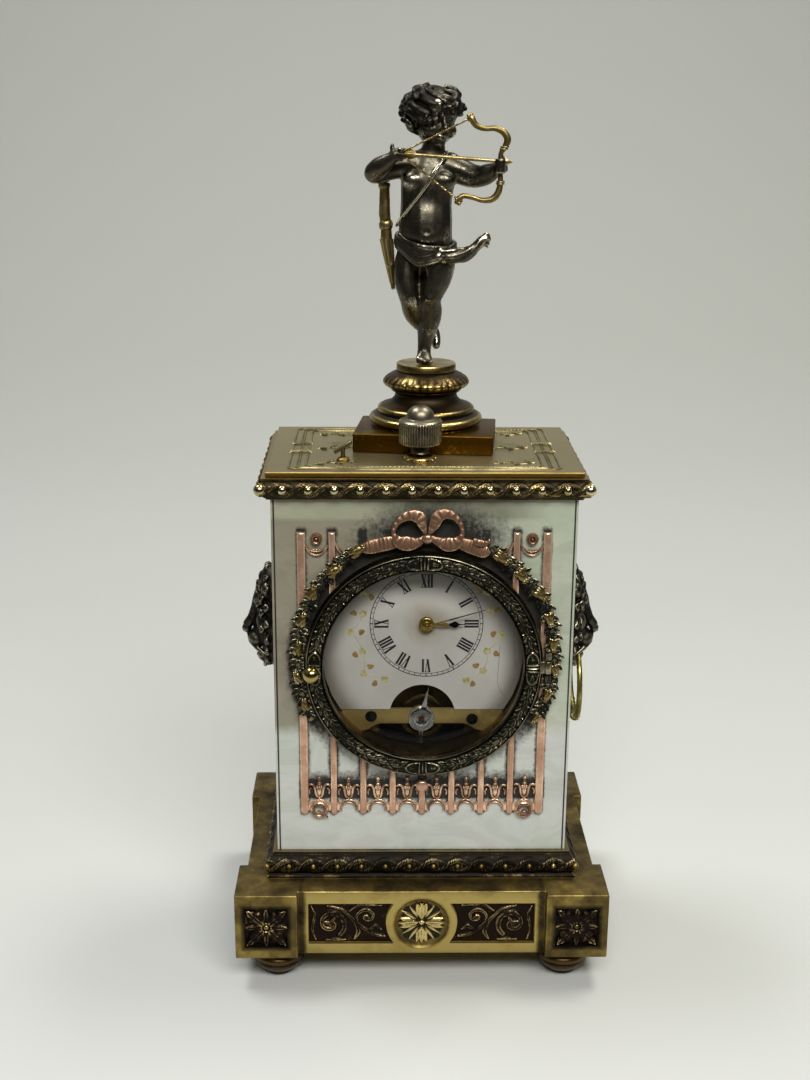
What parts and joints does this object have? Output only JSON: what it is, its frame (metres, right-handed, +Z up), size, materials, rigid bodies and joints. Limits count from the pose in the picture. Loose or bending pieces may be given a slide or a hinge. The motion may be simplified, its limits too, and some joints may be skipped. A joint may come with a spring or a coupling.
{
  "type": "mantel clock",
  "caption": "Small mantel clock: pearl case on a gilt plinth, hinged laurel bezel over a dial with its balance in view, and a silvered archer on a turned socle.",
  "frame": {"origin": "middle of the footprint, on the table under the feet", "axes": "+Z up, the dial faces -Y, +X to the viewer's right"},
  "size_m": [0.0872, 0.0648, 0.2044],
  "materials": {
    "gilt": "gilded bronze, satin, worn in the hollows",
    "dark_gilt": "darkened gilt bronze, satin",
    "aged_silver": "blackened silver gilt, high points rubbed bright",
    "figure_silver": "oxidised silver casting, satin",
    "rose_gilt": "rose-gold wash, satin",
    "plate_brass": "gilded movement brass, fine grain",
    "steel": "polished and grained steel",
    "black_steel": "blackened steel, satin",
    "pearl": "mother-of-pearl veneer, iridescent and polished",
    "enamel": "white enamel, glossy",
    "crystal": "clear bevelled glass"
  },
  "bodies": {
    "case": {"base_plinth": "gilt", "foot_front_left": "dark_gilt", "foot_front_right": "dark_gilt", "foot_back_left": "dark_gilt", "foot_back_right": "dark_gilt", "corner_tile_left": "dark_gilt", "corner_tile_right": "dark_gilt", "scroll_panel_left": "dark_gilt", "scroll_panel_right": "dark_gilt", "centre_flower": "gilt", "step_moulding": "dark_gilt", "case_shell": "plate_brass", "front_panel": "pearl", "back_panel": "pearl", "left_panel": "pearl", "right_panel": "pearl", "cornice": "dark_gilt", "top_plate": "gilt", "bezel_seat": "dark_gilt", "hinge_knuckles": "aged_silver", "hinge_pin": "steel", "trellis": "rose_gilt", "ribbon_bow": "rose_gilt", "garland_left": "aged_silver", "garland_right": "aged_silver", "dial": "enamel", "main_plate": "plate_brass", "back_plate": "plate_brass", "mainspring_barrel": "plate_brass", "hairspring": "steel", "balance_bridge": "plate_brass", "bridge_screw_left": "steel", "bridge_screw_right": "steel", "regulator_index": "steel", "jewel_cap": "steel", "lion_mask_left": "aged_silver", "lion_mask_right": "aged_silver", "crown_collar": "dark_gilt", "set_pin_bush": "dark_gilt", "pedestal_block": "gilt", "pedestal_socle": "gilt", "archer_figure": "figure_silver", "bow_and_arrow": "gilt", "quiver": "figure_silver"},
    "bezel": {"bezel": "aged_silver", "bezel_glass": "crystal", "bezel_knob": "gilt"},
    "minute": {"minute_hand": "black_steel", "centre_arbor": "steel"},
    "motion_wheel": {"minute_wheel": "plate_brass"},
    "hour": {"hour_hand": "black_steel", "hour_wheel": "plate_brass"},
    "balance": {"balance_wheel": "plate_brass", "balance_staff": "steel"},
    "winder": {"crown": "steel", "winding_stem": "steel"},
    "setter": {"set_pin": "dark_gilt", "set_pin_rod": "steel"},
    "ring": {"ring_handle_right": "dark_gilt"}
  },
  "joints": [
    {"name": "bezel_hinge", "type": "hinge", "parent": "case", "child": "bezel", "pos_m": [0.02815, -0.0246, 0.0777], "axis": [0, 0, 1], "range_deg": [0, 95]},
    {"name": "minute_spin", "type": "hinge", "parent": "case", "child": "minute", "pos_m": [0.0008, -0.019, 0.0857], "axis": [0, 1, 0], "continuous": true},
    {"name": "motion_wheel_spin", "type": "hinge", "parent": "case", "child": "motion_wheel", "pos_m": [-0.0044, -0.0155, 0.0857], "axis": [0, 1, 0], "continuous": true},
    {"name": "hour_spin", "type": "hinge", "parent": "case", "child": "hour", "pos_m": [0.0008, -0.018, 0.0857], "axis": [0, 1, 0], "continuous": true},
    {"name": "balance_swing", "type": "hinge", "parent": "case", "child": "balance", "pos_m": [0, -0.0156, 0.062], "axis": [0, 1, 0], "range_deg": [-135, 135], "stiffness_Nm_per_rad": 0.0000006},
    {"name": "winder_spin", "type": "hinge", "parent": "case", "child": "winder", "pos_m": [-0.00085, -0.0111, 0.13], "axis": [0, 0, 1], "continuous": true},
    {"name": "setter_push", "type": "slide", "parent": "case", "child": "setter", "axis": [0, 0, -1], "range_m": [0, 0.0008], "stiffness_N_per_m": 200},
    {"name": "ring_swing", "type": "hinge", "parent": "case", "child": "ring", "pos_m": [0.0379, 0, 0.0736], "axis": [0, -1, 0], "range_deg": [0, 90]}
  ],
  "couplings": [
    {"joint": "motion_wheel_spin", "follows": "minute_spin", "ratio": -0.33333},
    {"joint": "hour_spin", "follows": "minute_spin", "ratio": 0.083333}
  ]
}
